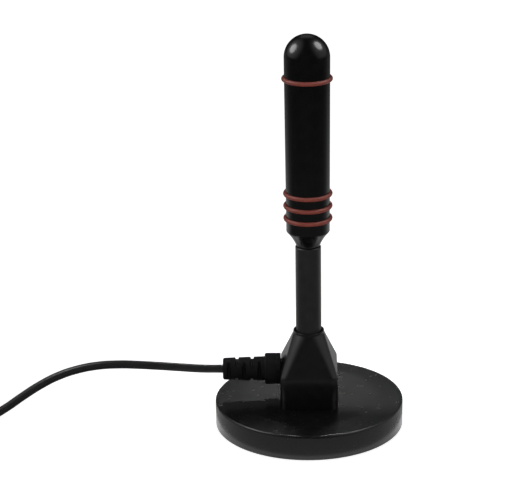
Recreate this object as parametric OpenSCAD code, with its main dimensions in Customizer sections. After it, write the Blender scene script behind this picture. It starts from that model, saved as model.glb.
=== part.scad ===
/* [Base] */
// Diameter of the round base
base_d = 85; // [80:1:95]
// Height of the flat top of the base above the floor
base_h = 12.4; // [12.2:0.2:16]
// Diameter of the flat middle of the base top
base_flat_d = 62; // [56:1:68]
// How far the base top falls from its flat middle to its rim
base_fall = 0.5; // [0.2:0.1:0.8]
// Radius of the rounded rim
base_rim_r = 0.9; // [0.4:0.1:1.2]
// Thickness of the cover's side wall
base_wall = 1.8; // [1.4:0.1:2.4]
// Thickness of the cover's flat top
base_top_t = 2; // [1.6:0.1:2.2]
// Gap between the cover's lower edge and the floor
floor_gap = 0.6; // [0.3:0.1:0.9]
// Thickness of the bottom plate
plate_t = 2.4; // [2:0.1:2.4]
// Thickness of the soft foot pad
pad_t = 1.2; // [1:0.1:1.4]
// Width of the plate's border round the foot pad
pad_border = 1.8; // [1.2:0.1:3]

/* [Magnet] */
// Outer diameter of the ring magnet
magnet_d = 60; // [54:1:60]
// Bore of the ring magnet and of the steel disc on it
magnet_bore = 30; // [29:0.5:32]
// Thickness of the steel disc
ground_t = 1; // [0.6:0.1:1.5]
// Room between the steel disc and the cover's roof, which sets the magnet's thickness
roof_gap = 0.4; // [0.2:0.1:1.5]
// Height of the rib that keeps the magnet in place
magnet_rib_h = 1.5; // [1:0.1:3]

/* [Mounting block] */
// Width of the block's rectangular foot, along the cable
block_w = 25.6; // [24.8:0.2:30]
// Depth of the block's rectangular foot
block_depth = 32; // [30:0.5:36]
// Height of the block's upright sides above the base
shoulder_h = 15; // [14:0.5:18]
// Height of the block's round top above the base
block_h = 32.6; // [31:0.2:40]
// Diameter of the block's round top
block_top_d = 13.8; // [13.8:0.1:15]
// Radius of the block's upright edges
block_edge_r = 3.2; // [1:0.1:3.6]
// Thickness of the block's side walls
block_wall = 2.2; // [1.6:0.1:2.4]
// Height of the block's round neck above the blended part
neck_h = 0.9; // [0.5:0.1:1.5]
// Depth of the narrow ring groove round the stem
groove_depth = 1.2; // [0.6:0.1:2]
// Width of the narrow ring groove round the stem
groove_w = 0.45; // [0.3:0.05:0.6]

/* [Stem] */
// Outer diameter of the stem
stem_d = 11.4; // [10.8:0.1:11.8]
// Wall of the stem
stem_wall = 1; // [0.8:0.1:1.2]
// Length of the stem that shows above the block
stem_show = 39.8; // [30:0.5:60]
// Diameter of the flange at the stem's foot
stem_foot_d = 14; // [13.2:0.2:14.4]
// Thickness of the flange at the stem's foot
stem_foot_t = 2.2; // [1.6:0.1:2.6]

/* [Sleeve] */
// Diameter of the sleeve at its lower end
sleeve_low_d = 19.2; // [18.6:0.1:20]
// Diameter of the sleeve at the dome
sleeve_top_d = 20; // [19.4:0.1:21]
// Length of the sleeve from its lower end to the joint with the tip
sleeve_l = 69.5; // [60:0.5:90]
// Length of the tip's straight part above the joint
tip_straight = 9.4; // [6:0.2:14]
// Bore of the sleeve
sleeve_bore = 16; // [15.4:0.1:16.2]
// Chamfer on the sleeve's lower edge
sleeve_chamfer = 0.45; // [0.2:0.05:0.7]
// Height of the waisted part between the stem and the sleeve
waist_h = 6.9; // [5.5:0.1:9]
// Diameter of the waisted part where it meets the stem
waist_d = 10.1; // [9.9:0.1:10.6]
// Radius of the waisted part's hollow curve
waist_r = 21; // [14:0.5:40]
// Length of the plugs that go into the sleeve's two ends
plug_in = 5; // [4:0.5:6]
// Length of the plug that goes into the stem
stem_plug_in = 8; // [5:0.5:12]

/* [Rings] */
// Thickness of each rubber ring
ring_t = 1.9; // [1.5:0.1:2.2]
// How far each rubber ring stands out of the sleeve
ring_proud = 1.18; // [0.9:0.02:1.3]
// Height of the first ring above the sleeve's lower end
ring_first = 6.35; // [5:0.05:9]
// Distance from ring to ring
ring_pitch = 5.68; // [4.5:0.02:8]

/* [Element] */
// Outer diameter of the brass tube
element_d = 12; // [10:0.2:12.4]
// Wall of the brass tube
element_wall = 0.4; // [0.3:0.05:0.8]
// Length of the brass tube
element_l = 58.5; // [40:0.5:59]
// Height of the post that the brass tube is pushed on
post_h = 4.3; // [3:0.1:8]
// Thickness of the disc that joins the tube to the wire
element_plug_t = 2; // [1:0.2:4]
// Length of the ring that centres the tube's top
spacer_l = 4; // [2:0.5:6]
// Distance from the tube's top down to that ring
spacer_drop = 1.5; // [0:0.5:10]
// Diameter of the insulated wire in the stem
wire_d = 2.2; // [1.6:0.1:3]
// Diameter of the wire's core
wire_core_d = 0.8; // [0.5:0.1:1.2]

/* [Strain relief] */
// Diameter of the collar
collar_d = 14.1; // [12:0.1:16]
// Length of the collar
collar_l = 7.1; // [5:0.1:9]
// Diameter of the tail beside the collar
tail_d = 11.1; // [9.5:0.1:12]
// Diameter of the tail at its end
tail_end_d = 9.9; // [8:0.1:11]
// Length of the tail
tail_l = 18.9; // [17:0.1:24]
// Diameter of the neck in the block's wall
neck_d = 8.8; // [7:0.1:9.4]
// Diameter of the flange inside the block
flange_d = 11.4; // [10.2:0.1:12]
// Thickness of the flange inside the block
flange_t = 1.5; // [1:0.1:1.6]
// Number of cross slots along the tail
slot_count = 5; // [2:1:5]
// Distance from one cross slot to the next
slot_pitch = 3.45; // [3:0.05:3.8]
// Distance from the collar to the middle of the first slot
slot_first = 2.35; // [1.8:0.05:3]
// Width of a slot at its floor
slot_w = 1.2; // [0.8:0.1:1.6]
// How much wider a slot is at its mouth
slot_flare = 0.7; // [0:0.1:1]
// Thickness of the web that the slots leave
slot_web = 5.9; // [4.8:0.1:7]

/* [Cable] */
// Diameter of the cable
cable_d = 3.8; // [3.4:0.1:3.9]
// Height of the cable's exit above the base
cable_rise = 13.6; // [13:0.1:15]
// Diameter of the braid where the jacket is stripped
braid_d = 2.9; // [2.4:0.1:3.1]
// Diameter of the inner insulation
dielectric_d = 2.3; // [1.8:0.1:2.3]
// Thickness of the coil's ties
tie_t = 0.8; // [0.5:0.1:0.9]
// Width of the coil's ties
tie_w = 6; // [4:0.5:7]

/* [Board] */
// Thickness of the board
board_t = 1.6; // [1:0.1:2]
// Width of the copper strip to the steel disc
strap_w = 4; // [2:0.5:5]
// Thickness of the copper strip
strap_t = 0.3; // [0.2:0.05:0.35]

/* [Aerial plug] */
// Diameter of the plug's metal sleeve
shell_d = 9.5; // [9:0.1:9.6]
// Wall of the plug's metal sleeve
shell_wall = 0.45; // [0.3:0.05:0.6]
// Length of the metal sleeve that shows
shell_l = 9.5; // [8:0.5:12]
// Diameter of the plug's contact pin
pin_d = 2.4; // [2:0.1:2.6]
// Diameter of the plug's grip
grip_d = 12.4; // [11.6:0.2:12.4]
// Length of the plug's grip, with its neck
grip_l = 26; // [22:0.5:30]
// Length of the grip's neck on the cable
grip_neck_l = 8; // [5:0.5:10]

/* [Fasteners] */
// Diameter of the thread of the base and block screws
screw_d = 2.9; // [2.4:0.1:3]
// Diameter of the head of the base and block screws
screw_head_d = 5; // [4.4:0.1:5.2]
// Height of the head of the block screws
screw_head_h = 1.9; // [1.2:0.1:2]
// Height of the flat head of the base screws
flat_head_h = 1; // [0.8:0.1:1.1]
// Diameter of the thread of the board screws
small_screw_d = 2; // [1.6:0.1:2.2]
// Length of thread of the block screws in the block
screw_bite = 6; // [4:0.5:8]

/* [Hidden] */
$fn = 96;

// Clearance between pieces that slide together
fit = 0.1;
// Small overlap that lets a cut run past a face
past = 0.5;
// Thickness of the thin slices that the block is blended between, and of a joint in an outline
slice = 0.02;

// Colours as the photograph shows them
gloss_black = "#141416";
matt_black = "#26262a";
red_rubber = "#8a4a46";
wire_red = "#a03028";
brass = "#b08d42";
steel = "#9a9ca0";
ferrite = "#3a3a3c";
copper = "#b06a44";
board_green = "#2f5d3c";
nickel = "#b9bbbd";
cream = "#d8d4c4";

// Heights in the base, from the floor up
plate_z = floor_gap;
plate_top = plate_z + plate_t;
cover_roof = base_h - base_top_t;
ground_top = cover_roof - roof_gap;
ground_z = ground_top - ground_t;
magnet_t = ground_z - plate_top;
rim_z = base_h - base_fall;
cover_bore_r = base_d / 2 - base_wall;
plate_r = cover_bore_r - 2 * fit;
pad_r = plate_r - pad_border;
ground_margin = 0.6;
ground_r = magnet_d / 2 + ground_margin;
magnet_rib_t = 0.8;
press_rib_margin = 3;
press_rib_r = magnet_d / 2 - press_rib_margin;
press_rib_w = 2;
wire_way_r = 5;

// Screws that hold the bottom plate to the cover
plate_boss_r = 2.6;
plate_boss_margin = 2;
plate_screw_r = cover_bore_r - plate_boss_r - plate_boss_margin;
plate_screw_count = 3;
plate_screw_drop = 1.8;
plate_screw_top = cover_roof - plate_screw_drop;
plate_screw_l = plate_screw_top - pad_t;

// Screws that hold the block to the cover
block_boss_r = 2.6;
block_screw_x = 7;
block_screw_y = 9.5;
screw_hole_spare = 1;

// Levels of the block, the stem and the sleeve
shoulder_z = base_h + shoulder_h;
block_top = base_h + block_h;
cavity_rise = 1.6;
cavity_top = shoulder_z + cavity_rise;
stem_seat = cavity_top + stem_foot_t;
stem_top = block_top + stem_show;
stem_bore_r = stem_d / 2 - stem_wall;
sleeve_z = stem_top + waist_h;
joint_z = sleeve_z + sleeve_l;
dome_z = joint_z + tip_straight;
stem_chamfer_w = 0.25;
stem_chamfer_h = 0.3;
cap_lip_r = sleeve_low_d / 2 - sleeve_chamfer + fit;
tip_wall = 1.8;

// Levels of the element
element_z = sleeve_z + plug_in;
post_top = element_z + post_h;
element_top = element_z + element_l;
element_in_r = element_d / 2 - element_wall;

// The board and the cable's held end
cable_z = base_h + cable_rise;
board_top = cable_z - braid_d / 2;
board_z = board_top - board_t;
block_x = block_w / 2;
wall_in = block_x - block_wall;
flange_end = wall_in - flange_t;
board_gap = 1;
board_x = flange_end - board_gap;
post_r = 1.8;
board_post_x = 7.6;
board_post_y = 4.7;
board_l = board_x + board_post_x + post_r;
board_w = 2 * (block_screw_y - block_boss_r - 3 * fit);
rest_post_x = 5.6;
rest_post_y = 6.9;
board_screw_l = 4.2;
board_screw_head_d = 3.8;
board_screw_head_h = 1;
wire_joint_h = 0.6;

// The copper strip: where it drops from the board, its tab there and its foot on the steel disc
strap_drop_x = 3;
strap_tab_l = 3;
strap_foot_l = 4;

// Steps in the cable's stripped end, measured from the wire in the middle
core_bare_l = 3;
braid_start = 5;
cable_core_r = 0.4;

// The strain relief along the cable
collar_end = block_x + collar_l;
tail_end = collar_end + tail_l;
parting_inset = 1.7;
parting_x = block_x + parting_inset;
parting_w = 0.35;
parting_depth = 0.15;
collar_edge = 0.5;

// Route of the free lead, from the strain relief to the coil, chosen by hand
lead_route = [
    [-38.8, 0, 26], [-48, 0, 26.1], [-58, 0, 26.8], [-68, -0.1, 27.6], [-77, -0.4, 28.3],
    [-86, -0.7, 28.7], [-95, -1.2, 28.4], [-104, -2, 27], [-113, -3.1, 24.3], [-121.5, -4.5, 20.3],
    [-129.5, -5.8, 15.4], [-137, -7, 10.4], [-144.5, -8, 6.3], [-153, -8.9, 3.6], [-164.6, -9.4, 2.7]
];
// Route of the lead from the coil to its plug, chosen by hand
tail_route = [
    [-201.4, -9.4, 13.3], [-208, -9.4, 11.5], [-215, -9.4, 9.1], [-222, -9.4, 7.2],
    [-228, -9.4, 6.3], [-233, -9.4, 6.2]
];
// The coil of the lead: its middle, the radii of its turns, the room beside them for the turns
// that climb from one layer to the next, and its layers
coil_at = [-183, 21];
coil_low_r = 15.2;
coil_high_r = 30.4;
coil_room = 1.5;
coil_in_r = coil_low_r - cable_d / 2 - coil_room;
coil_out_r = coil_high_r + cable_d / 2 + coil_room;
coil_layers = 4;
layer_pitch = 3.85;
coil_h = (coil_layers - 1) * layer_pitch + cable_d;
tie_angles = [20, 200];
lead_sides = 8;

// The aerial plug's parts along its axis, measured from its back
plug_at = [-233, -9.4, 6.2];
grip_bore_depth = 4;
grip_neck_wall = 1.3;
grip_flare = 0.5;
grip_groove_r = 0.9;
grip_groove_out = 0.25;
grip_groove_pitch = 3;
shell_collar = 0.4;
shell_back = grip_l - grip_bore_depth;
shell_end = grip_l + shell_l;
insulator_step = 1;
insulator_z = shell_back + insulator_step;
insulator_t = 5;
pin_recess = 0.5;

// Radius of the sleeve and the tip at a height
function sleeve_r(z) =
    (sleeve_low_d + (sleeve_top_d - sleeve_low_d) * (z - sleeve_z) / (dome_z - sleeve_z)) / 2;

// Heights of the rings on the sleeve
function ring_z(i) = sleeve_z + ring_first + i * ring_pitch;

// Radius of the middle of a ring's rubber at a height
function ring_mid(z) = sleeve_r(z) + ring_proud - ring_t / 2;

function unit(v) = v / norm(v);

// Direction of a route at one of its points; both ends run straight along X
function heading(path, i) =
    i == 0 || i == len(path) - 1 ? [-1, 0, 0] : unit(path[i + 1] - path[i - 1]);

// One ring of points round a route
function hoop(p, along, r, sides) =
    let (side = unit(cross([0, 0, 1], along)), up = cross(along, side))
    [for (k = [0:sides - 1]) p + r * (cos(360 * k / sides) * side + sin(360 * k / sides) * up)];

// A tube along a route, as rings of points joined by faces
module tube_along(path, d, sides) {
    last = len(path) - 1;
    polyhedron(
        points = [for (i = [0:last]) each hoop(path[i], heading(path, i), d / 2, sides)],
        faces = concat(
            [[for (k = [sides - 1:-1:0]) k]],
            [for (i = [0:last - 1], k = [0:sides - 1])
                let (a = i * sides + k, b = i * sides + (k + 1) % sides)
                [a, b, b + sides, a + sides]],
            [[for (k = [0:sides - 1]) last * sides + k]]
        )
    );
}

// A ring of round section about the upright axis
module rubber_ring(z, gap = 0) {
    translate([0, 0, z])
        rotate_extrude()
            translate([ring_mid(z), 0])
                circle(d = ring_t + 2 * gap, $fn = 32);
}

// Copies at the corners of a rectangle
module at_corners(x, y) {
    for (sx = [-1, 1], sy = [-1, 1])
        translate([sx * x, sy * y, 0])
            children();
}

// Copies round the upright axis
module around(r, count) {
    for (i = [0:count - 1])
        rotate([0, 0, 90 + i * 360 / count])
            translate([r, 0, 0])
                children();
}

// A tube between two heights
module pipe(outer_r, inner_r, z, h) {
    translate([0, 0, z])
        difference() {
            cylinder(r = outer_r, h = h);
            translate([0, 0, -past])
                cylinder(r = inner_r, h = h + 2 * past);
        }
}

// A rectangle with rounded corners about the middle
module rounded_plan(w, d, r) {
    hull()
        at_corners(w / 2 - r, d / 2 - r)
            circle(r = r, $fn = 32);
}

// Turns a piece that is drawn upwards so that it points along minus X
module lying(at) {
    translate(at)
        rotate([0, -90, 0])
            children();
}

// Outline of the cover's outside: flat middle, falling rim, rounded edge and upright wall
module cover_section() {
    edge_r = base_d / 2 - base_rim_r;
    polygon([
        [0, floor_gap], [base_d / 2, floor_gap], [base_d / 2, rim_z - base_rim_r],
        [edge_r, rim_z - base_rim_r], [edge_r, rim_z], [base_flat_d / 2, base_h], [0, base_h]
    ]);
    translate([edge_r, rim_z - base_rim_r])
        circle(r = base_rim_r);
}

module base_cover() {
    color(gloss_black)
        difference() {
            union() {
                difference() {
                    rotate_extrude()
                        cover_section();
                    translate([0, 0, floor_gap - past])
                        cylinder(r = cover_bore_r, h = cover_roof - floor_gap + past);
                }
                around(plate_screw_r, plate_screw_count)
                    translate([0, 0, plate_top])
                        cylinder(r = plate_boss_r, h = cover_roof - plate_top + past);
                pipe(press_rib_r + press_rib_w / 2, press_rib_r - press_rib_w / 2, ground_top,
                    cover_roof - ground_top + past);
            }
            around(plate_screw_r, plate_screw_count)
                translate([0, 0, plate_top - past])
                    cylinder(d = screw_d + fit, h = plate_screw_top - plate_top + 2 * past);
            at_corners(block_screw_x, block_screw_y)
                cylinder(d = screw_d + 3 * fit, h = base_h + past);
            cylinder(r = wire_way_r, h = base_h + past);
        }
}

module bottom_plate() {
    color(gloss_black)
        difference() {
            union() {
                translate([0, 0, plate_z])
                    cylinder(r = plate_r, h = plate_t);
                pipe(magnet_d / 2 + fit + magnet_rib_t, magnet_d / 2 + fit, plate_top, magnet_rib_h);
            }
            cylinder(r = pad_r + fit, h = pad_t);
            around(plate_screw_r, plate_screw_count) {
                cylinder(d = screw_d + 3 * fit, h = base_h);
                cylinder(d = screw_head_d + 2 * fit, h = pad_t + flat_head_h);
            }
        }
}

module foot_pad() {
    color(matt_black)
        cylinder(r = pad_r, h = pad_t);
}

module ring_magnet() {
    color(ferrite)
        pipe(magnet_d / 2, magnet_bore / 2, plate_top, magnet_t);
}

module ground_plate() {
    color(steel)
        pipe(ground_r, magnet_bore / 2, ground_z, ground_t);
}

module plate_screws() {
    color(steel)
        around(plate_screw_r, plate_screw_count)
            translate([0, 0, pad_t]) {
                cylinder(d = screw_head_d, h = flat_head_h);
                cylinder(d = screw_d, h = plate_screw_l);
            }
}

module block_screws() {
    color(steel)
        at_corners(block_screw_x, block_screw_y)
            translate([0, 0, cover_roof - screw_head_h]) {
                cylinder(d = screw_head_d, h = screw_head_h);
                cylinder(d = screw_d, h = screw_head_h + base_top_t + screw_bite);
            }
}

// The block's outside: an upright rectangular foot blended into a round neck
module block_outside() {
    translate([0, 0, base_h])
        linear_extrude(shoulder_h)
            rounded_plan(block_w, block_depth, block_edge_r);
    hull() {
        translate([0, 0, shoulder_z - slice])
            linear_extrude(slice)
                rounded_plan(block_w, block_depth, block_edge_r);
        translate([0, 0, block_top - neck_h])
            cylinder(d = block_top_d, h = slice, $fn = 64);
    }
    translate([0, 0, block_top - neck_h])
        cylinder(d = block_top_d, h = neck_h, $fn = 96);
}

// The block's hollow, open below, with square inner corners
module block_hollow() {
    translate([0, 0, base_h - past])
        linear_extrude(cavity_top - base_h + past)
            square([2 * wall_in, block_depth - 2 * block_wall], center = true);
}

module mount_block() {
    color(gloss_black)
        difference() {
            union() {
                difference() {
                    block_outside();
                    block_hollow();
                }
                translate([0, 0, base_h])
                    at_corners(block_screw_x, block_screw_y)
                        cylinder(r = block_boss_r, h = cavity_top - base_h + past);
                translate([0, 0, board_top]) {
                    for (side = [-1, 1])
                        translate([board_post_x, side * board_post_y, 0])
                            cylinder(r = post_r, h = cavity_top - board_top + past);
                    for (side = [-1, 1])
                        translate([-rest_post_x, side * rest_post_y, 0])
                            cylinder(r = post_r, h = cavity_top - board_top + past);
                }
            }
            translate([0, 0, base_h - past])
                at_corners(block_screw_x, block_screw_y)
                    cylinder(d = screw_d + fit, h = screw_bite + screw_hole_spare + past);
            translate([0, 0, board_z - past])
                for (side = [-1, 1])
                    translate([board_post_x, side * board_post_y, 0])
                        cylinder(d = small_screw_d + fit, h = board_t + board_screw_l);
            translate([0, 0, cavity_top - past])
                cylinder(d = stem_foot_d + 2 * fit, h = stem_foot_t + past);
            translate([0, 0, cavity_top])
                cylinder(d = stem_d + 2 * fit, h = block_top);
            translate([0, 0, block_top - groove_depth])
                cylinder(d = stem_d + 2 * groove_w, h = groove_depth + past);
            translate([-wall_in + past, 0, cable_z])
                rotate([0, -90, 0])
                    cylinder(d = neck_d + 2 * fit, h = block_wall + 2 * past);
            translate([-wall_in + flange_t + fit, 0, cable_z])
                rotate([0, -90, 0])
                    cylinder(d = flange_d + 2 * fit, h = flange_t + fit);
        }
}

module feed_board() {
    color(board_green)
        difference() {
            translate([-board_x, -board_w / 2, board_z])
                cube([board_l, board_w, board_t]);
            translate([0, 0, board_z - past]) {
                for (side = [-1, 1])
                    translate([board_post_x, side * board_post_y, 0])
                        cylinder(d = small_screw_d + 2 * fit, h = board_t + 2 * past);
                cylinder(d = wire_core_d + fit, h = board_t + 2 * past);
            }
        }
}

module board_screws() {
    color(steel)
        for (side = [-1, 1])
            translate([board_post_x, side * board_post_y, board_z - board_screw_head_h]) {
                cylinder(d = board_screw_head_d, h = board_screw_head_h);
                cylinder(d = small_screw_d, h = board_screw_l);
            }
}

// A bent strip: soldered under the board, down through the cover, out over the steel disc
module ground_strap() {
    near = strap_drop_x;
    tab = strap_drop_x + strap_tab_l;
    reach = magnet_bore / 2 + strap_foot_l;
    color(copper)
        rotate([90, 0, 0])
            linear_extrude(strap_w, center = true)
                polygon([
                    [near, ground_top], [reach, ground_top], [reach, ground_top + strap_t],
                    [near + strap_t, ground_top + strap_t], [near + strap_t, board_z - strap_t],
                    [tab, board_z - strap_t], [tab, board_z], [near, board_z]
                ]);
}

module stem() {
    color(matt_black)
        difference() {
            union() {
                translate([0, 0, cavity_top])
                    cylinder(d = stem_foot_d, h = stem_foot_t);
                translate([0, 0, cavity_top])
                    cylinder(d = stem_d, h = stem_top - cavity_top - stem_chamfer_h);
                translate([0, 0, stem_top - stem_chamfer_h])
                    cylinder(d1 = stem_d, d2 = stem_d - 2 * stem_chamfer_w, h = stem_chamfer_h);
            }
            cylinder(r = stem_bore_r, h = stem_top + past);
        }
}

module feed_wire() {
    color(wire_red)
        translate([0, 0, board_top])
            cylinder(d = wire_d, h = post_top - board_top);
    color(copper)
        translate([0, 0, board_z - wire_joint_h])
            cylinder(d = wire_core_d, h = post_top + element_plug_t - board_z + 2 * wire_joint_h);
}

// Outline of the lower cap: plug, hollow waist, lip under the sleeve, plug and post
module cap_section() {
    stem_plug_r = stem_bore_r - fit / 2;
    sleeve_plug_r = sleeve_bore / 2 - fit / 2;
    post_top_r = element_in_r - fit / 2;
    chord = [cap_lip_r - waist_d / 2, waist_h];
    middle = [(cap_lip_r + waist_d / 2) / 2, stem_top + waist_h / 2];
    off = sqrt(waist_r * waist_r - norm(chord) * norm(chord) / 4);
    centre = middle + off * [chord[1], -chord[0]] / norm(chord);
    polygon([
        [wire_d / 2 + fit, stem_top - stem_plug_in], [stem_plug_r, stem_top - stem_plug_in],
        [stem_plug_r, stem_top], [wire_d / 2 + fit, stem_top]
    ]);
    difference() {
        translate([wire_d / 2 + fit, stem_top])
            square([cap_lip_r - wire_d / 2 - fit, waist_h]);
        translate(centre)
            circle(r = waist_r, $fn = 256);
    }
    polygon([
        [wire_d / 2 + fit, sleeve_z - slice], [sleeve_plug_r, sleeve_z - slice],
        [sleeve_plug_r, element_z], [post_top_r, element_z], [post_top_r, post_top],
        [wire_d / 2 + fit, post_top]
    ]);
}

module lower_cap() {
    color(gloss_black)
        rotate_extrude()
            cap_section();
}

module mast_sleeve() {
    low_r = sleeve_low_d / 2;
    color(gloss_black)
        difference() {
            rotate_extrude()
                polygon([
                    [sleeve_bore / 2, sleeve_z], [low_r - sleeve_chamfer, sleeve_z],
                    [sleeve_r(sleeve_z + sleeve_chamfer), sleeve_z + sleeve_chamfer],
                    [sleeve_r(joint_z), joint_z], [sleeve_bore / 2, joint_z]
                ]);
            for (i = [0:2])
                rubber_ring(ring_z(i), fit / 2);
            rubber_ring(joint_z, fit / 2);
        }
}

module tip_cap() {
    bore_r = sleeve_bore / 2 - tip_wall;
    color(gloss_black)
        difference() {
            union() {
                translate([0, 0, joint_z])
                    cylinder(r1 = sleeve_r(joint_z), r2 = sleeve_top_d / 2, h = tip_straight);
                translate([0, 0, dome_z])
                    sphere(d = sleeve_top_d);
                translate([0, 0, joint_z - plug_in])
                    cylinder(r = sleeve_bore / 2 - fit / 2, h = plug_in + past);
            }
            translate([0, 0, joint_z - plug_in - past])
                cylinder(r = bore_r, h = plug_in + tip_straight + past);
            translate([0, 0, dome_z])
                sphere(r = bore_r);
            rubber_ring(joint_z, fit / 2);
        }
}

module element_tube() {
    color(brass)
        pipe(element_d / 2, element_in_r, element_z, element_l);
}

module element_plug() {
    color(brass)
        pipe(element_in_r - fit / 2, wire_core_d / 2 + fit / 2, post_top, element_plug_t);
}

module element_spacer() {
    color(cream)
        pipe(sleeve_bore / 2 - fit / 2, element_d / 2 + fit / 2, element_top - spacer_drop - spacer_l,
            spacer_l);
}

// Outline of the strain relief, from the flange inside the block to the end of the tail
module relief_section() {
    bore = cable_d / 2;
    edge = collar_edge;
    polygon([
        [bore, flange_end], [flange_d / 2, flange_end], [flange_d / 2, wall_in],
        [neck_d / 2, wall_in], [neck_d / 2, block_x], [collar_d / 2, block_x],
        [collar_d / 2, parting_x], [collar_d / 2 - parting_depth, parting_x + parting_w / 2],
        [collar_d / 2, parting_x + parting_w], [collar_d / 2, collar_end - edge],
        [collar_d / 2 - edge, collar_end], [tail_d / 2, collar_end],
        [tail_end_d / 2, tail_end - edge], [tail_end_d / 2 - edge, tail_end], [bore, tail_end]
    ]);
}

// A pair of slots across the tail, on opposite sides
module slot_pair() {
    mouth = tail_d / 2 + past;
    for (side = [0, 180])
        rotate([0, 0, side])
            rotate([90, 0, 0])
                linear_extrude(tail_d + 2 * past, center = true)
                    polygon([
                        [slot_web / 2, -slot_w / 2], [mouth, -(slot_w + slot_flare) / 2],
                        [mouth, (slot_w + slot_flare) / 2], [slot_web / 2, slot_w / 2]
                    ]);
}

module strain_relief() {
    color(matt_black)
        lying([0, 0, cable_z])
            difference() {
                rotate_extrude()
                    relief_section();
                for (i = [0:slot_count - 1])
                    translate([0, 0, collar_end + slot_first + i * slot_pitch])
                        rotate([0, 0, i % 2 == 0 ? 90 : 0])
                            slot_pair();
            }
}

// The held end of the cable, stripped in steps towards the board
module cable_root() {
    color(matt_black)
        lying([0, 0, cable_z])
            rotate_extrude()
                polygon([
                    [0, wire_d / 2 + fit], [cable_core_r, wire_d / 2 + fit],
                    [cable_core_r, core_bare_l], [dielectric_d / 2, core_bare_l],
                    [dielectric_d / 2, braid_start], [braid_d / 2, braid_start],
                    [braid_d / 2, flange_end - fit],
                    [cable_d / 2, flange_end - fit], [cable_d / 2, tail_end], [0, tail_end]
                ]);
}

module cable_lead() {
    color(matt_black)
        tube_along(lead_route, cable_d, lead_sides);
}

module cable_coil() {
    color(matt_black)
        translate([coil_at[0], coil_at[1], tie_t])
            rotate_extrude()
                translate([coil_in_r, 0])
                    square([coil_out_r - coil_in_r, coil_h]);
}

module cable_tail() {
    color(matt_black)
        tube_along(tail_route, cable_d, lead_sides);
}

// Two flat bands round the bundle of turns, which also lift it off the floor
module coil_ties() {
    inside = sqrt(coil_in_r * coil_in_r - tie_w * tie_w / 4) - fit;
    outside = coil_out_r + fit;
    color(matt_black)
        for (angle = tie_angles)
            translate([coil_at[0], coil_at[1], 0])
                rotate([90, 0, angle])
                    linear_extrude(tie_w, center = true)
                        difference() {
                            translate([inside - tie_t, 0])
                                square([outside - inside + 2 * tie_t, coil_h + fit + 2 * tie_t]);
                            translate([inside, tie_t])
                                square([outside - inside, coil_h + fit]);
                        }
}

// Outline of the plug's grip: slim neck, waisted body with finger grooves, bore for the sleeve
module grip_section() {
    neck_r = cable_d / 2 + grip_neck_wall;
    body_middle = (grip_neck_l + grip_l) / 2;
    difference() {
        polygon([
            [0, 0], [neck_r, 0], [neck_r + grip_flare, grip_neck_l],
            [grip_d / 2 - 2 * grip_flare, grip_neck_l + grip_groove_pitch / 2],
            [grip_d / 2, grip_neck_l + grip_groove_pitch], [grip_d / 2, grip_l - grip_groove_pitch],
            [grip_d / 2 - grip_flare, grip_l], [0, grip_l]
        ]);
        translate([-past, shell_back])
            square([shell_d / 2 + shell_collar + fit + past, grip_bore_depth + past]);
        for (i = [-1.5:1.5])
            translate([grip_d / 2 + grip_groove_out, body_middle + i * grip_groove_pitch])
                circle(r = grip_groove_r, $fn = 24);
        for (i = [0:1])
            translate([neck_r + grip_groove_r, grip_neck_l / 2 + (i - 0.5) * grip_groove_pitch])
                circle(r = grip_groove_r + fit, $fn = 24);
    }
}

module plug_grip() {
    color(matt_black)
        lying(plug_at)
            rotate_extrude()
                grip_section();
}

// The metal sleeve, with a thicker collar that the grip is moulded round
module plug_shell() {
    inside_r = shell_d / 2 - shell_wall;
    color(nickel)
        lying(plug_at) {
            pipe(shell_d / 2 + shell_collar, inside_r, shell_back, grip_bore_depth);
            pipe(shell_d / 2, inside_r, grip_l, shell_l);
        }
}

module plug_insulator() {
    color(cream)
        lying(plug_at)
            pipe(shell_d / 2 - shell_wall - fit / 2, pin_d / 2 + fit / 2, insulator_z, insulator_t);
}

module plug_pin() {
    color(nickel)
        lying(plug_at) {
            translate([0, 0, shell_back])
                cylinder(d = pin_d, h = shell_end - shell_back - pin_d / 2 - pin_recess);
            translate([0, 0, shell_end - pin_d / 2 - pin_recess])
                sphere(d = pin_d);
        }
}

base_cover();
bottom_plate();
foot_pad();
ring_magnet();
ground_plate();
plate_screws();
block_screws();
mount_block();
feed_board();
board_screws();
ground_strap();
stem();
feed_wire();
lower_cap();
mast_sleeve();
color(red_rubber) rubber_ring(ring_z(0));  // lower_ring_1
color(red_rubber) rubber_ring(ring_z(1));  // lower_ring_2
color(red_rubber) rubber_ring(ring_z(2));  // lower_ring_3
color(red_rubber) rubber_ring(joint_z);  // top_ring
tip_cap();
element_tube();
element_plug();
element_spacer();
strain_relief();
cable_root();
cable_lead();
cable_coil();
cable_tail();
coil_ties();
plug_grip();
plug_shell();
plug_insulator();
plug_pin();
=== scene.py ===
import math
import bmesh
import bpy
from mathutils import Matrix, Vector


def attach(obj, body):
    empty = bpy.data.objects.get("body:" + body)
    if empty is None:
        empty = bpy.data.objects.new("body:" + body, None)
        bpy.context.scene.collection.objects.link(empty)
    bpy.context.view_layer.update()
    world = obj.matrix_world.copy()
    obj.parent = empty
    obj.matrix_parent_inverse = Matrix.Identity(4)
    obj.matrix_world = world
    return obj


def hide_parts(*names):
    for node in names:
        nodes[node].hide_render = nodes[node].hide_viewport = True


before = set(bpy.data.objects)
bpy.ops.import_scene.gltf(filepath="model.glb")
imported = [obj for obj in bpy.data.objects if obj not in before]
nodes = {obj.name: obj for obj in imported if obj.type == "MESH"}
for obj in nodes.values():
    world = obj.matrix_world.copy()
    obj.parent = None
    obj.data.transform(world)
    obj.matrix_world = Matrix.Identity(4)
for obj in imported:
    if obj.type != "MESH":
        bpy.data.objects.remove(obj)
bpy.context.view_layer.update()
MM = 0.001


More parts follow.
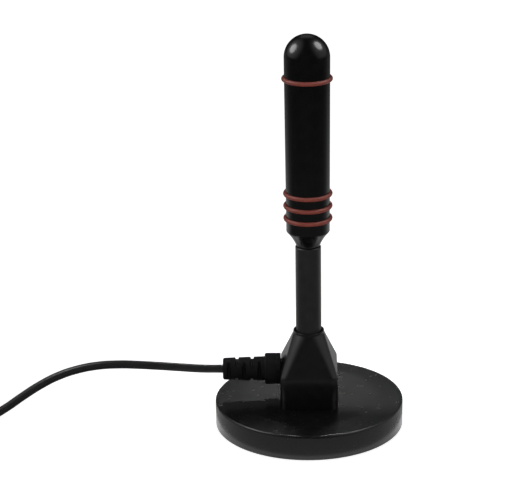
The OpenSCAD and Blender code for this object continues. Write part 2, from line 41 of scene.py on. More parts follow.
# The camera: it stands in front of the antenna and a little above it, as in the photograph,
# with a long lens. It leans by less than half a degree, and the picture is cut off-centre.
CAMERA_AT = Vector((0.3, -819.2, 379.5)) * MM
CAMERA_PITCH = math.radians(-19.72)
CAMERA_LEAN = math.radians(-0.37)
CAMERA_LENS = 140.34
CAMERA_SHIFT = -0.1115
SENSOR_WIDTH = 36
CLIP_START = 0.01


def place_in_scene(made):
    bpy.context.scene.collection.objects.link(made)
    return made


camera = bpy.data.objects.new("camera", bpy.data.cameras.new("camera"))
camera.data.lens = CAMERA_LENS
camera.data.shift_x = CAMERA_SHIFT
camera.data.sensor_width = SENSOR_WIDTH
camera.data.clip_start = CLIP_START
level_view = Matrix.Rotation(math.pi / 2 + CAMERA_PITCH, 4, "X")
lean = Matrix.Rotation(CAMERA_LEAN, 4, "Z")
camera.matrix_world = Matrix.Translation(CAMERA_AT) @ level_view @ lean
place_in_scene(camera)
bpy.context.scene.camera = camera


# The base cover: a disc of black ABS with a high gloss, moulded in one piece and open below.
# The press rib under its roof holds the magnet down, and three screws from below close it.
COVER_BLACK = (0.006, 0.006, 0.0062, 1)
COVER_GREY = (0.009, 0.009, 0.0094, 1)
CLOUD_SCALE = 240
CLOUD_RANGE = (0.25, 0.8)
HAZE_RANGE = (0.3, 0.7)
HAZE_SHARES = (0.94, 1.07)
EDGE_SAMPLES = 6


def add(tree, kind, settings=None, **inputs):
    made = tree.nodes.new("ShaderNode" + kind)
    for name, value in (settings or {}).items():
        setattr(made, name, value)
    for name, value in inputs.items():
        socket = made.inputs[name.replace("_", " ")]
        if isinstance(value, bpy.types.NodeSocket):
            tree.links.new(value, socket)
        else:
            socket.default_value = value
    return made


def new_finish(name, roughness, metallic=0.0):
    material = bpy.data.materials.new(name)
    material.use_nodes = True
    tree = material.node_tree
    shader = tree.nodes["Principled BSDF"]
    shader.inputs["Roughness"].default_value = roughness
    shader.inputs["Metallic"].default_value = metallic
    place = tree.nodes.new("ShaderNodeTexCoord").outputs["Object"]
    return material, tree, shader, place


def two_tones(tree, amount, dark, light, start=0.35, end=0.7):
    ramp = add(tree, "ValToRGB", Fac=amount)
    ramp.color_ramp.elements[0].position = start
    ramp.color_ramp.elements[0].color = dark
    ramp.color_ramp.elements[1].position = end
    ramp.color_ramp.elements[1].color = light
    return ramp.outputs["Color"]


def moulded_plastic(name, dark, light, roughness, peel, grain_size, edge=0.15 * MM, shine=0.5):
    """Clouds faintly in colour and gloss, has a fine skin, and catches light on its edges."""
    material, tree, shader, place = new_finish(name, roughness)
    shader.inputs["Specular IOR Level"].default_value = shine
    cloud = add(tree, "TexNoise", Vector=place, Scale=CLOUD_SCALE, Detail=6).outputs["Fac"]
    colour = two_tones(tree, cloud, dark, light, CLOUD_RANGE[0], CLOUD_RANGE[1])
    tree.links.new(colour, shader.inputs["Base Color"])
    haze = add(tree, "MapRange", Value=cloud, From_Min=HAZE_RANGE[0], From_Max=HAZE_RANGE[1],
               To_Min=roughness * HAZE_SHARES[0], To_Max=roughness * HAZE_SHARES[1])
    tree.links.new(haze.outputs["Result"], shader.inputs["Roughness"])
    skin = add(tree, "TexNoise", Vector=place, Scale=1 / grain_size, Detail=1).outputs["Fac"]
    rounded = add(tree, "Bevel", {"samples": EDGE_SAMPLES}, Radius=edge).outputs["Normal"]
    relief = add(tree, "Bump", Height=skin, Distance=peel, Strength=1.0, Normal=rounded)
    tree.links.new(relief.outputs["Normal"], shader.inputs["Normal"])
    return material


def dress(piece, material):
    piece.data.materials.clear()
    piece.data.materials.append(material)


cover_gloss = moulded_plastic("cover_gloss", COVER_BLACK, COVER_GREY, roughness=0.26, peel=0.003 * MM,
                              grain_size=2.0 * MM, edge=0.4 * MM)
dress(nodes["base_cover"], cover_gloss)


# The bottom plate and the foot pad: the plate is finely textured ABS that closes the base,
# and the pad is a disc of soft foam rubber stuck into its recess over the three screws.
PLATE_BLACK = (0.02, 0.02, 0.021, 1)
PLATE_GREY = (0.034, 0.034, 0.036, 1)
FOAM_DARK = (0.012, 0.012, 0.012, 1)
FOAM_LIGHT = (0.045, 0.045, 0.044, 1)
FOAM_CELL = 0.9 * MM
PORE_DEPTH = 0.12 * MM


def foam_rubber(name, dark, light, cell):
    material, tree, shader, place = new_finish(name, 0.85)
    cells = add(tree, "TexVoronoi", Vector=place, Scale=1 / cell).outputs["Distance"]
    # The colour follows the pores' depth and is darker in their pits: painted shade in the pores.
    tree.links.new(two_tones(tree, cells, dark, light, 0.05, 0.6), shader.inputs["Base Color"])
    pores = add(tree, "Bump", Height=cells, Distance=PORE_DEPTH, Strength=0.8)
    tree.links.new(pores.outputs["Normal"], shader.inputs["Normal"])
    return material


plate_matt = moulded_plastic("plate_matt", PLATE_BLACK, PLATE_GREY, roughness=0.5, peel=0.03 * MM,
                             grain_size=0.4 * MM)
dress(nodes["bottom_plate"], plate_matt)
dress(nodes["foot_pad"], foam_rubber("pad_foam", FOAM_DARK, FOAM_LIGHT, FOAM_CELL))


# The magnet and the steel disc: a ring of sintered ferrite with ground faces, and on it a
# zinc-plated sheet disc that the aerial works against. The cover's rib presses on both.
FERRITE_DARK = (0.035, 0.035, 0.038, 1)
FERRITE_LIGHT = (0.09, 0.09, 0.095, 1)
ZINC_DARK = (0.42, 0.43, 0.45, 1)
ZINC_LIGHT = (0.62, 0.63, 0.66, 1)
GRIT_SCALE = 2500
GRINDING_SCALE = 700
GRINDING_DEPTH = 0.01 * MM
SPANGLE_SCALE = 400
DRAWN_STRETCH = (1, 1, 0.05)
DRAWN_DEPTH = 0.004 * MM
WEAR_SHARES = (0.75, 1.3)


def ground_ferrite(name):
    material, tree, shader, place = new_finish(name, 0.55)
    grit = add(tree, "TexNoise", Vector=place, Scale=GRIT_SCALE, Detail=6).outputs["Fac"]
    tree.links.new(two_tones(tree, grit, FERRITE_DARK, FERRITE_LIGHT), shader.inputs["Base Color"])
    marks = add(tree, "TexWave", {"bands_direction": "DIAGONAL"}, Vector=place, Scale=GRINDING_SCALE,
                Distortion=6.0, Detail=3).outputs["Fac"]
    cuts = add(tree, "Bump", Height=marks, Distance=GRINDING_DEPTH, Strength=0.7)
    tree.links.new(cuts.outputs["Normal"], shader.inputs["Normal"])
    return material


def plated_metal(name, dark, light, roughness, grain):
    material, tree, shader, place = new_finish(name, roughness, 1.0)
    spangle = add(tree, "TexNoise", Vector=place, Scale=SPANGLE_SCALE, Detail=5).outputs["Fac"]
    tree.links.new(two_tones(tree, spangle, dark, light), shader.inputs["Base Color"])
    wear = add(tree, "MapRange", Value=spangle, From_Min=0.3, From_Max=0.7,
               To_Min=roughness * WEAR_SHARES[0], To_Max=roughness * WEAR_SHARES[1])
    tree.links.new(wear.outputs["Result"], shader.inputs["Roughness"])
    stretch = add(tree, "Mapping", Vector=place, Scale=DRAWN_STRETCH).outputs["Vector"]
    drawn = add(tree, "TexNoise", Vector=stretch, Scale=1 / grain, Detail=2).outputs["Fac"]
    lines = add(tree, "Bump", Height=drawn, Distance=DRAWN_DEPTH, Strength=0.8)
    tree.links.new(lines.outputs["Normal"], shader.inputs["Normal"])
    return material


zinc = plated_metal("screw_steel", ZINC_DARK, ZINC_LIGHT, 0.32, 0.3 * MM)
dress(nodes["ring_magnet"], ground_ferrite("magnet_ferrite"))
dress(nodes["ground_plate"], plated_metal("disc_steel", ZINC_DARK, ZINC_LIGHT, 0.38, 0.5 * MM))
dress(nodes["plate_screws"], zinc)
dress(nodes["block_screws"], zinc)


# The mounting block: black ABS, hollow, moulded in one piece and held by four screws through
# the cover. Its rectangular foot stands upright and blends into a round neck for the stem.
BLOCK_HALF_X = 12.8
BLOCK_HALF_Y = 16.0
BLOCK_EDGE_R = 3.2
BLOCK_WALL = 2.2
BLOCK_FOOT_Z = 12.4
BLOCK_SHOULDER_Z = 27.4
BLOCK_BLEND_TOP_Z = 44.1
BLOCK_TOP_Z = 45.0
BLOCK_NECK_R = 6.9
GROOVE_R = 6.15
GROOVE_FLOOR_Z = 43.8
STEM_BORE_R = 5.8
FLANGE_POCKET_R = 7.1
FLANGE_POCKET_TOP_Z = 31.2
CAVITY_TOP_Z = 29.0
CORNER_STEPS = 14
SIDE_STEPS = 10
BLOCK_BLACK = (0.006, 0.006, 0.0065, 1)
BLOCK_GREY = (0.010, 0.010, 0.011, 1)
CORNER_CUTS = [0.55, 0.4, 0.16, 0.1, 0.05, 0.05, 0.05, 0.05, 0.1, 0.3]


def soft_corners(path, cuts, steps=5):
    """A path of points whose inner corners are cut back and rounded, each by its own length."""
    out = [path[0]]
    for before, corner, after, cut in zip(path, path[1:], path[2:], cuts):
        start = corner + (before - corner).normalized() * cut
        end = corner + (after - corner).normalized() * cut
        for k in range(steps + 1):
            t = k / steps
            out.append(start * (1 - t) ** 2 + corner * 2 * t * (1 - t) + end * t * t)
    return out + [path[-1]]


def block_columns():
    """Round the block: a point of the foot's plan, its direction, and its side of the hollow."""
    flat_x = BLOCK_HALF_X - BLOCK_EDGE_R
    flat_y = BLOCK_HALF_Y - BLOCK_EDGE_R
    hollow = Vector((BLOCK_HALF_X - BLOCK_WALL, BLOCK_HALF_Y - BLOCK_WALL, 0))
    corners = [(1, 1), (-1, 1), (-1, -1), (1, -1)]
    for quarter, (sx, sy) in enumerate(corners):
        middle = Vector((sx * flat_x, sy * flat_y, 0))
        inner = Vector((sx * hollow.x, sy * hollow.y, 0))
        for k in range(CORNER_STEPS + 1):
            angle = math.pi / 2 * (quarter + k / CORNER_STEPS)
            way = Vector((math.cos(angle), math.sin(angle), 0))
            yield middle + way * BLOCK_EDGE_R, way, inner
        nx, ny = corners[(quarter + 1) % 4]
        goal = Vector((nx * flat_x, ny * flat_y, 0)) + way * BLOCK_EDGE_R
        inner_goal = Vector((nx * hollow.x, ny * hollow.y, 0))
        start = middle + way * BLOCK_EDGE_R
        for k in range(1, SIDE_STEPS):
            t = k / SIDE_STEPS
            yield start.lerp(goal, t), way, inner.lerp(inner_goal, t)


def block_section(plan, way, inner):
    """One upright section of the block's wall, from the foot over the neck and down inside."""
    def at(point, z):
        return Vector((point.x, point.y, z))
    ring = way.normalized()
    path = [
        at(plan, BLOCK_FOOT_Z), at(plan, BLOCK_SHOULDER_Z),
        at(ring * BLOCK_NECK_R, BLOCK_BLEND_TOP_Z),
        at(ring * BLOCK_NECK_R, BLOCK_TOP_Z), at(ring * GROOVE_R, BLOCK_TOP_Z),
        at(ring * GROOVE_R, GROOVE_FLOOR_Z), at(ring * STEM_BORE_R, GROOVE_FLOOR_Z),
        at(ring * STEM_BORE_R, FLANGE_POCKET_TOP_Z), at(ring * FLANGE_POCKET_R, FLANGE_POCKET_TOP_Z),
        at(ring * FLANGE_POCKET_R, CAVITY_TOP_Z), at(inner, CAVITY_TOP_Z), at(inner, BLOCK_FOOT_Z),
    ]
    return soft_corners(path, CORNER_CUTS)


def closed_grid(name, columns):
    """A closed mesh from columns that go round, each of them a closed section."""
    rows = len(columns[0])
    mesh = bpy.data.meshes.new(name)
    faces = []
    for i in range(len(columns)):
        j = (i + 1) % len(columns)
        for k in range(rows):
            n = (k + 1) % rows
            faces.append((i * rows + k, j * rows + k, j * rows + n, i * rows + n))
    mesh.from_pydata([p * MM for column in columns for p in column], [], faces)
    mesh.update()
    mesh.shade_smooth()
    return place_in_scene(bpy.data.objects.new(name, mesh))


block = closed_grid("block_shell", [block_section(*column) for column in block_columns()])
block_gloss = moulded_plastic("block_gloss", BLOCK_BLACK, BLOCK_GREY, roughness=0.3, peel=0.004 * MM,
                              grain_size=1.0 * MM)
dress(block, block_gloss)
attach(block, "root")
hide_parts("mount_block")


# The board in the block: green laminate with its two screws, the copper strip that is
# soldered under it and bent down to the steel disc, and the red wire that goes up the stem.
LAMINATE_DARK = (0.03, 0.12, 0.05, 1)
LAMINATE_LIGHT = (0.06, 0.2, 0.09, 1)
COPPER_DARK = (0.5, 0.22, 0.12, 1)
COPPER_LIGHT = (0.75, 0.4, 0.26, 1)
WIRE_DARK = (0.24, 0.03, 0.03, 1)
WIRE_LIGHT = (0.36, 0.06, 0.05, 1)

board_green = moulded_plastic("board_laminate", LAMINATE_DARK, LAMINATE_LIGHT, roughness=0.35,
                              peel=0.02 * MM, grain_size=0.3 * MM)
dress(nodes["feed_board"], board_green)
dress(nodes["board_screws"], zinc)
dress(nodes["ground_strap"], plated_metal("strap_copper", COPPER_DARK, COPPER_LIGHT, 0.3, 0.2 * MM))
wire_red = moulded_plastic("wire_insulation", WIRE_DARK, WIRE_LIGHT, roughness=0.38, peel=0.01 * MM,
                           grain_size=0.5 * MM)
dress(nodes["feed_wire"], wire_red)


# The stem: an extruded tube of matt black plastic with a flange at its foot, which the block
# holds. Its skin is finely grained and dulls what it mirrors.
STEM_BLACK = (0.014, 0.014, 0.015, 1)
STEM_GREY = (0.022, 0.022, 0.024, 1)

stem_matt = moulded_plastic("stem_matt", STEM_BLACK, STEM_GREY, roughness=0.42, peel=0.012 * MM,
                            grain_size=0.35 * MM)
dress(nodes["stem"], stem_matt)


# The sleeve with its two ends: polished black ABS. The lower cap is turned to a waist and
# plugs into the stem, and the tip is a dome. Both are pushed into the sleeve.
POLISHED_BLACK = (0.003, 0.003, 0.0033, 1)
POLISHED_GREY = (0.006, 0.006, 0.0066, 1)

sleeve_gloss = moulded_plastic("sleeve_gloss", POLISHED_BLACK, POLISHED_GREY, roughness=0.2,
                               peel=0.003 * MM, grain_size=1.4 * MM)
for part in ("lower_cap", "mast_sleeve", "tip_cap"):
    dress(nodes[part], sleeve_gloss)


# The four rings: dull red silicone rubber cord, moulded as O rings. Each is stretched over the
# sleeve and snaps into a round groove.
RING_DARK = (0.25, 0.045, 0.03, 1)
RING_LIGHT = (0.34, 0.07, 0.048, 1)
BLOOM_SCALE = 600
RUBBER_SKIN_SCALE = 3000
RUBBER_SKIN_DEPTH = 0.01 * MM


def dull_rubber(name, dark, light):
    material, tree, shader, place = new_finish(name, 0.55)
    bloom = add(tree, "TexNoise", Vector=place, Scale=BLOOM_SCALE, Detail=6, Roughness=0.7).outputs["Fac"]
    tree.links.new(two_tones(tree, bloom, dark, light), shader.inputs["Base Color"])
    skin = add(tree, "TexNoise", Vector=place, Scale=RUBBER_SKIN_SCALE, Detail=3).outputs["Fac"]
    fine = add(tree, "Bump", Height=skin, Distance=RUBBER_SKIN_DEPTH, Strength=0.8)
    tree.links.new(fine.outputs["Normal"], shader.inputs["Normal"])
    return material


ring_red = dull_rubber("ring_red", RING_DARK, RING_LIGHT)
for part in ("lower_ring_1", "lower_ring_2", "lower_ring_3", "top_ring"):
    dress(nodes[part], ring_red)


# The radiator in the sleeve: a drawn brass tube pushed on the lower cap's post, a brass disc
# that joins it to the wire, and a nylon ring that centres its top.
BRASS_DARK = (0.5, 0.35, 0.12, 1)
BRASS_LIGHT = (0.75, 0.56, 0.24, 1)
NYLON_DARK = (0.6, 0.57, 0.47, 1)
NYLON_LIGHT = (0.74, 0.71, 0.61, 1)

brass = plated_metal("element_brass", BRASS_DARK, BRASS_LIGHT, 0.25, 0.25 * MM)
dress(nodes["element_tube"], brass)
dress(nodes["element_plug"], brass)
spacer_nylon = moulded_plastic("spacer_nylon", NYLON_DARK, NYLON_LIGHT, roughness=0.45, peel=0.01 * MM,
                               grain_size=0.6 * MM)
dress(nodes["element_spacer"], spacer_nylon)


# The strain relief: one moulding of soft black PVC on the cable. Its collar closes the hole in
# the block, and its tail has slots across it that let it bend with the cable.
RELIEF_DARK = (0.004, 0.004, 0.0043, 1)
RELIEF_LIGHT = (0.009, 0.009, 0.0095, 1)

relief_pvc = moulded_plastic("relief_pvc", RELIEF_DARK, RELIEF_LIGHT, roughness=0.58, peel=0.01 * MM,
                             grain_size=0.4 * MM, edge=0.3 * MM, shine=0.16)
dress(nodes["strain_relief"], relief_pvc)


# The lead: small coax with a black PVC jacket, extruded over the braid. It leaves the relief
# to the left, comes down in one bow, and the rest of it is wound in a flat coil of four layers.
CABLE_D = 3.8
LEAD_ROUTE = [
    (-38.8, 0, 26), (-48, 0, 26.1), (-58, 0, 26.8), (-68, -0.1, 27.6), (-77, -0.4, 28.3),
    (-86, -0.7, 28.7), (-95, -1.2, 28.4), (-104, -2, 27), (-113, -3.1, 24.3), (-121.5, -4.5, 20.3),
    (-129.5, -5.8, 15.4), (-137, -7, 10.4), (-144.5, -8, 6.3), (-153, -8.9, 3.6), (-164.6, -9.4, 2.7),
    (-174, -9.4, 2.7),
]
TAIL_ROUTE = [
    (-192, -9.4, 14.25), (-201.4, -9.4, 13.3), (-208, -9.4, 11.5), (-215, -9.4, 9.1), (-222, -9.4, 7.2),
    (-228, -9.4, 6.3), (-233, -9.4, 6.2),
]
COIL_AT = Vector((-183, 21, 0))
COIL_LOW_R = 15.2
COIL_HIGH_R = 30.4
COIL_FLOOR = 2.7
LAYER_STEP = 3.85
TURNS_A_LAYER = 4
POINTS_A_TURN = 16
JACKET_DARK = (0.012, 0.012, 0.013, 1)
JACKET_LIGHT = (0.02, 0.02, 0.021, 1)


def spiral(layer, inward):
    """The turns of one layer: radius and height, one pair for each point."""
    start, end = (COIL_HIGH_R, COIL_LOW_R) if inward else (COIL_LOW_R, COIL_HIGH_R)
    count = TURNS_A_LAYER * POINTS_A_TURN
    for k in range(count):
        yield start + (end - start) * k / count, COIL_FLOOR + layer * LAYER_STEP


def climb(layer, at_inside):
    """The turn that goes up to the next layer beside the turns before and after it."""
    pitch = (COIL_HIGH_R - COIL_LOW_R) / TURNS_A_LAYER
    side = -1 if at_inside else 1
    middle_r = (COIL_LOW_R if at_inside else COIL_HIGH_R) - side * pitch / 2
    middle_z = COIL_FLOOR + (layer + 0.5) * LAYER_STEP
    for k in range(POINTS_A_TURN):
        lean = pitch * (2 * k / POINTS_A_TURN - 1)
        apart = math.hypot(lean, LAYER_STEP)
        off = math.sqrt(CABLE_D * CABLE_D - apart * apart / 4)
        yield middle_r + side * off * LAYER_STEP / apart, middle_z + off * lean / apart


def coil_points():
    turns = list(spiral(0, True)) + list(climb(0, True)) + list(spiral(1, False))
    turns += list(climb(1, False)) + list(spiral(2, True)) + list(climb(2, True))
    turns += list(spiral(3, False)) + [(COIL_HIGH_R, COIL_FLOOR + 3 * LAYER_STEP)]
    for k, (r, z) in enumerate(turns):
        angle = -math.pi / 2 - 2 * math.pi * k / POINTS_A_TURN
        yield COIL_AT + Vector((r * math.cos(angle), r * math.sin(angle), z))


def round_cord(name, points, diameter):
    line = bpy.data.curves.new(name, "CURVE")
    line.dimensions = "3D"
    line.bevel_depth = diameter / 2 * MM
    line.bevel_resolution = 5
    line.resolution_u = 6
    line.use_fill_caps = True
    spline = line.splines.new("BEZIER")
    spline.bezier_points.add(len(points) - 1)
    for bead, point in zip(spline.bezier_points, points):
        bead.co = Vector(point) * MM
        bead.handle_left_type = "AUTO"
        bead.handle_right_type = "AUTO"
    return place_in_scene(bpy.data.objects.new(name, line))


lead = round_cord("lead", LEAD_ROUTE + list(coil_points()) + TAIL_ROUTE, CABLE_D)
cable_pvc = moulded_plastic("cable_pvc", JACKET_DARK, JACKET_LIGHT, roughness=0.36, peel=0.012 * MM,
                            grain_size=0.8 * MM, edge=0.01 * MM)
dress(lead, cable_pvc)
dress(nodes["cable_root"], cable_pvc)
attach(lead, "root")
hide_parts("cable_lead", "cable_coil", "cable_tail")


# The coil's ties: two cable ties of black nylon. Each is a flat strap pulled round the bundle of
# turns, with a moulded lock on top and the cut tail standing out of it.
TIE_ANGLES = (20, 200)
TIE_WIDTH = 6.0
TIE_THICK = 0.8
TIE_IN_R = 10.91
TIE_OUT_R = 34.3
TIE_LOW_Z = 0.4
TIE_HIGH_Z = 16.65
TIE_BEND_R = 2.2
TIE_EDGE = 0.12
TIE_STEPS = 8
TIE_SHARP = math.radians(35)
LOCK_R = 22.6
LOCK_HALF = Vector((2.6, 3.9, 1.6))
LOCK_EDGE = 0.5
LOCK_TAPER = 0.88
TAIL_LENGTH = 6.5
TAIL_RISE = 1.1
TAIL_LIFT = 1.6
TAIL_NARROWER = 0.8
TIE_DARK = (0.012, 0.012, 0.012, 1)
TIE_LIGHT = (0.024, 0.024, 0.024, 1)


def strap_section(point, out, width):
    """The strap's flat section at a point: the edges are broken, and out is its upper side."""
    across = Vector((0, width / 2, 0))
    half = out * TIE_THICK / 2
    edge = across.normalized() * TIE_EDGE
    skin = out * TIE_EDGE
    return [point - half - across + edge, point - half + across - edge, point - half + across + skin,
            point + half + across - skin, point + half + across - edge, point + half - across + edge,
            point + half - across - skin, point - half - across + skin]


def strap_loop():
    """The strap round the bundle: four straight sides joined by round bends."""
    near, far = TIE_IN_R + TIE_BEND_R, TIE_OUT_R - TIE_BEND_R
    low, high = TIE_LOW_Z + TIE_BEND_R, TIE_HIGH_Z - TIE_BEND_R
    for r, z, start in [(far, low, -90), (far, high, 0), (near, high, 90), (near, low, 180)]:
        for k in range(TIE_STEPS + 1):
            turn = math.radians(start + 90 * k / TIE_STEPS)
            out = Vector((math.cos(turn), 0, math.sin(turn)))
            yield strap_section(Vector((r, 0, z)) + out * TIE_BEND_R, out, TIE_WIDTH)


def strap_tail():
    """The cut end, which comes out of the lock towards the coil's middle and lifts a little."""
    for k in range(TIE_STEPS + 1):
        t = k / TIE_STEPS
        z = TIE_HIGH_Z + TIE_THICK * TAIL_LIFT + TAIL_RISE * t * t
        point = Vector((LOCK_R - t * (LOCK_HALF.x + TAIL_LENGTH), 0, z))
        out = Vector((2 * TAIL_RISE * t / TAIL_LENGTH, 0, 1)).normalized()
        yield strap_section(point, out, TIE_WIDTH - TAIL_NARROWER)


def tube_faces(mesh, columns, closed):
    """Faces between the sections of a strap, which is closed on itself or has two flat ends."""
    rings = [[mesh.verts.new(point) for point in column] for column in columns]
    count = len(rings[0])
    for a, b in zip(rings, rings[1:] + (rings[:1] if closed else [])):
        for k in range(count):
            mesh.faces.new((a[k], b[k], b[(k + 1) % count], a[(k + 1) % count]))
    if not closed:
        mesh.faces.new(rings[0])
        mesh.faces.new(rings[-1][::-1])


def tie_lock(mesh):
    """The lock on top of the strap: a block with draft towards its top and rounded edges."""
    middle = Vector((LOCK_R, 0, TIE_HIGH_Z + LOCK_HALF.z - TIE_THICK / 2))
    made = bmesh.ops.create_cube(mesh, size=2.0)["verts"]
    for corner in made:
        taper = LOCK_TAPER if corner.co.z > 0 else 1.0
        corner.co *= LOCK_HALF * Vector((taper, taper, 1))
        corner.co += middle
    edges = list({edge for corner in made for edge in corner.link_edges})
    bmesh.ops.bevel(mesh, geom=edges, offset=LOCK_EDGE, segments=3, profile=0.5, affect="EDGES")


ties_mesh = bpy.data.meshes.new("cable_ties")
both_ties = bmesh.new()
for angle in TIE_ANGLES:
    one = bmesh.new()
    tube_faces(one, list(strap_loop()), True)
    tube_faces(one, list(strap_tail()), False)
    tie_lock(one)
    bmesh.ops.recalc_face_normals(one, faces=one.faces)
    turned = Matrix.Rotation(math.radians(angle), 4, "Z")
    one.transform(Matrix.Scale(MM, 4) @ Matrix.Translation(COIL_AT) @ turned)
    part_mesh = bpy.data.meshes.new("one_tie")
    one.to_mesh(part_mesh)
    both_ties.from_mesh(part_mesh)
    bpy.data.meshes.remove(part_mesh)
both_ties.to_mesh(ties_mesh)
ties_mesh.shade_smooth()
ties_mesh.set_sharp_from_angle(angle=TIE_SHARP)
ties = place_in_scene(bpy.data.objects.new("cable_ties", ties_mesh))
tie_plastic = moulded_plastic("tie_plastic", TIE_DARK, TIE_LIGHT, roughness=0.4, peel=0.01 * MM,
                              grain_size=0.3 * MM)
dress(ties, tie_plastic)
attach(ties, "root")
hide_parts("coil_ties")


# The plug: a soft grip moulded on the lead, a nickel-plated sleeve, an insulator and a pin.
# The sleeve and the pin are pressed into the insulator, and the grip holds them from behind.
NICKEL_DARK = (0.55, 0.55, 0.52, 1)
NICKEL_LIGHT = (0.72, 0.71, 0.68, 1)

dress(nodes["plug_grip"], relief_pvc)
nickel = plated_metal("plug_nickel", NICKEL_DARK, NICKEL_LIGHT, 0.16, 0.4 * MM)
dress(nodes["plug_shell"], nickel)
dress(nodes["plug_pin"], nickel)
dress(nodes["plug_insulator"], spacer_nylon)


# The studio: a pale floor, a wide lamp overhead, one in front and a narrow one from behind. A
# round soft box on each side is there for what the gloss mirrors; the card over the floor glows,
# seen only by gloss, as a painted reflection. A small flag keeps the back lamp off the front of the base.
FLOOR_SIZE = 8.0
FLOOR_COLOUR = (0.62, 0.62, 0.62, 1)
FLOOR_GLOW = 0.86
FLOOR_SHINE = 0.1
CARD_NEAR_R = 0.046
CARD_FAR_R = 6.0
CARD_Z = 0.001
CARD_STEPS = 72
CARD_AZIMUTH_TONES = [(0.45, 0.14), (0.62, 0.32), (0.8, 0.8), (1.0, 0.66)]
CARD_REACH = 0.7
CARD_SHARES = [(0.1, 0.5), (0.17, 1.0), (0.24, 1.0), (0.34, 0.45), (0.62, 0.155)]
CARD_GLOW = 0.33
CARD_GLOW_R = (0.062, 0.085)
OVERHEAD_AT = Vector((0, 0.1, 2.4))
OVERHEAD_SIZE = 3.4
OVERHEAD_POWER = 8.0
FRONT_AT = Vector((0, -1.6, 0.32))
FRONT_SIZE = 1.2
FRONT_POWER = 12.0
LAMP_AIM = Vector((0, 0, 0.09))
BACK_LAMP_AT = Vector((0, 0.78, 0.83))
BACK_LAMP_AIM = Vector((0, 0.052, 0.012))
BACK_LAMP_R = 0.07
BACK_LAMP_POWER = 37.0
BACK_LAMP_CONE = math.radians(8.4)
BACK_LAMP_EDGE = 1.0
FLAG_Y = 0.078
FLAG_HALF_X = 0.09
FLAG_Z = (0.112, 0.17)
BOX_DISTANCE = 0.26
BOX_AIM = Vector((0, 0, 0.17))
BOX_SIZE = 0.16
BOX_POWER = 0.37
SOFT_BOXES = {"left_box": (-0.845, 0.074, 0.53), "right_box": (0.70, 0.09, 0.70)}
SKY_TONE = 0.02
SKY_PATCHES = [
    {"way": (-0.85, 0.0, 0.53), "tone": 0.6, "start": 0.62, "end": 0.97},
    {"way": (0.85, 0.0, 0.53), "tone": 0.45, "start": 0.62, "end": 0.97},
    {"way": (0.0, 0.72, 0.69), "tone": 0.26, "start": 0.93, "end": 0.995},
]


def flat_mesh(name, points, faces, material):
    mesh = bpy.data.meshes.new(name)
    mesh.from_pydata(points, [], faces)
    mesh.materials.append(material)
    made = place_in_scene(bpy.data.objects.new(name, mesh))
    return made


def soft_lamp(name, kind, at, way, power):
    lamp = bpy.data.lights.new(name, kind)
    lamp.energy = power
    held = place_in_scene(bpy.data.objects.new(name, lamp))
    held.location = at
    held.rotation_euler = way.to_track_quat("Z", "Y").to_euler()
    return held


def floor_finish():
    material, tree, shader, _ = new_finish("floor_white", 0.9)
    shader.inputs["Base Color"].default_value = FLOOR_COLOUR
    shader.inputs["Specular IOR Level"].default_value = FLOOR_SHINE
    shader.inputs["Emission Color"].default_value = (1, 1, 1, 1)
    seen = tree.nodes.new("ShaderNodeLightPath").outputs
    share = seen["Is Camera Ray"]
    for ray in ("Is Glossy Ray", "Is Transmission Ray"):
        either = add(tree, "Math", {"operation": "MAXIMUM"})
        tree.links.new(share, either.inputs[0])
        tree.links.new(seen[ray], either.inputs[1])
        share = either.outputs[0]
    glow = add(tree, "MapRange", Value=share, To_Max=FLOOR_GLOW)
    tree.links.new(glow.outputs["Result"], shader.inputs["Emission Strength"])
    return material


def tone_ramp(tree, amount, tones):
    ramp = add(tree, "ValToRGB", Fac=amount)
    marks = ramp.color_ramp.elements
    for stop, (position, tone) in enumerate(tones):
        mark = marks[stop] if stop < 2 else marks.new(position)
        mark.position = position
        mark.color = (tone, tone, tone, 1)
    return ramp.outputs["Color"]


def painted_reflection_finish():
    """A painted reflection, a glow seen only by gloss: dark in front, paler at the sides and behind,
    darker far away, and pale close to the base.
    """
    material, tree, shader, place = new_finish("painted_reflection_glow", 1.0)
    shader.inputs["Base Color"].default_value = (0, 0, 0, 1)
    shader.inputs["Specular IOR Level"].default_value = 0
    shader.inputs["Emission Strength"].default_value = 1
    way = add(tree, "VectorMath", {"operation": "NORMALIZE"})
    tree.links.new(place, way.inputs[0])
    behind = add(tree, "SeparateXYZ", Vector=way.outputs["Vector"]).outputs["Y"]
    turn = add(tree, "MapRange", Value=behind, From_Min=-1.0, From_Max=1.0).outputs["Result"]
    far = add(tree, "VectorMath", {"operation": "LENGTH"})
    tree.links.new(place, far.inputs[0])
    reach = add(tree, "MapRange", Value=far.outputs["Value"], From_Max=CARD_REACH).outputs["Result"]
    share = tone_ramp(tree, reach, [(r / CARD_REACH, level) for r, level in CARD_SHARES])
    tone = add(tree, "VectorMath", {"operation": "MULTIPLY"})
    tree.links.new(tone_ramp(tree, turn, CARD_AZIMUTH_TONES), tone.inputs[0])
    tree.links.new(share, tone.inputs[1])
    glow = add(tree, "MapRange", Value=far.outputs["Value"], From_Min=CARD_GLOW_R[0],
               From_Max=CARD_GLOW_R[1], To_Min=CARD_GLOW, To_Max=0.0).outputs["Result"]
    both = add(tree, "VectorMath", {"operation": "ADD"})
    tree.links.new(tone.outputs["Vector"], both.inputs[0])
    tree.links.new(glow, both.inputs[1])
    tree.links.new(both.outputs["Vector"], shader.inputs["Emission Color"])
    return material


half = FLOOR_SIZE / 2
flat_mesh("floor", [(-half, -half, 0), (half, -half, 0), (half, half, 0), (-half, half, 0)],
          [(0, 1, 2, 3)], floor_finish())

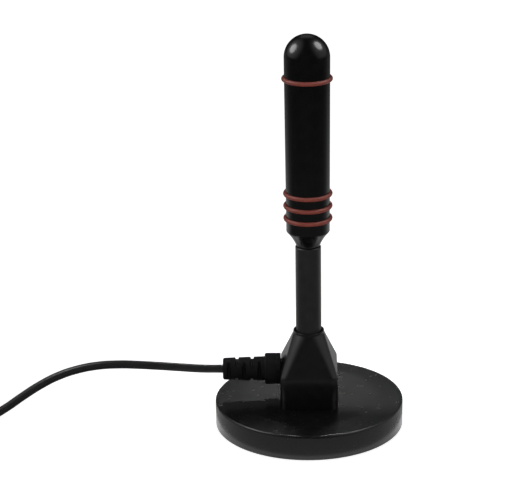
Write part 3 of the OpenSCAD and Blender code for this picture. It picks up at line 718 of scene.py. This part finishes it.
card_points = []
card_faces = []
for k in range(CARD_STEPS):
    turn = 2 * math.pi * k / CARD_STEPS
    way = Vector((math.cos(turn), math.sin(turn), 0))
    card_points += [way * r + Vector((0, 0, CARD_Z)) for r in (CARD_NEAR_R, CARD_FAR_R)]
    after = 2 * ((k + 1) % CARD_STEPS)
    card_faces.append((2 * k, 2 * k + 1, after + 1, after))
# A glowing sheet seen only by gloss: it paints the reflections of the surroundings around the base.
card = flat_mesh("painted_reflection_card", card_points, card_faces, painted_reflection_finish())
for kind in ("camera", "diffuse", "shadow", "transmission"):
    setattr(card, "visible_" + kind, False)

overhead = soft_lamp("overhead_box", "AREA", OVERHEAD_AT, Vector((0, 0, 1)), OVERHEAD_POWER)
overhead.data.size = OVERHEAD_SIZE
overhead.visible_glossy = False
front = soft_lamp("front_box", "AREA", FRONT_AT, FRONT_AT - LAMP_AIM, FRONT_POWER)
front.data.size = FRONT_SIZE
front.visible_glossy = False
back_lamp = soft_lamp("back_lamp", "SPOT", BACK_LAMP_AT, BACK_LAMP_AT - BACK_LAMP_AIM, BACK_LAMP_POWER)
back_lamp.data.shadow_soft_size = BACK_LAMP_R
back_lamp.data.spot_size = BACK_LAMP_CONE
back_lamp.data.spot_blend = BACK_LAMP_EDGE
low, high = FLAG_Z
flag_points = [(-FLAG_HALF_X, FLAG_Y, low), (FLAG_HALF_X, FLAG_Y, low),
               (FLAG_HALF_X, FLAG_Y, high), (-FLAG_HALF_X, FLAG_Y, high)]
flag = flat_mesh("lamp_flag", flag_points, [(0, 1, 2, 3)], card.data.materials[0])
for kind in ("camera", "diffuse", "glossy", "transmission"):
    setattr(flag, "visible_" + kind, False)
for name, way in SOFT_BOXES.items():
    way = Vector(way).normalized()
    box = soft_lamp(name, "AREA", BOX_AIM + way * BOX_DISTANCE, way, BOX_POWER)
    box.data.shape = "DISK"
    box.data.size = BOX_SIZE
    box.visible_diffuse = False

world = bpy.data.worlds.new("studio")
world.use_nodes = True
bpy.context.scene.world = world
sky = world.node_tree
direction = sky.nodes.new("ShaderNodeTexCoord").outputs["Generated"]
tone = None
for patch in SKY_PATCHES:
    near = add(sky, "VectorMath", {"operation": "DOT_PRODUCT"})
    sky.links.new(direction, near.inputs[0])
    near.inputs[1].default_value = Vector(patch["way"]).normalized()
    glow = add(sky, "MapRange", {"interpolation_type": "SMOOTHSTEP"}, Value=near.outputs["Value"],
               From_Min=patch["start"], From_Max=patch["end"], To_Max=patch["tone"])
    total = add(sky, "Math", {"operation": "ADD"})
    total.inputs[0].default_value = SKY_TONE
    if tone:
        sky.links.new(tone, total.inputs[0])
    sky.links.new(glow.outputs["Result"], total.inputs[1])
    tone = total.outputs[0]
sky.links.new(tone, sky.nodes["Background"].inputs["Strength"])
sky.nodes["Background"].inputs["Color"].default_value = (1, 1, 1, 1)

bpy.context.scene.view_settings.view_transform = "Standard"
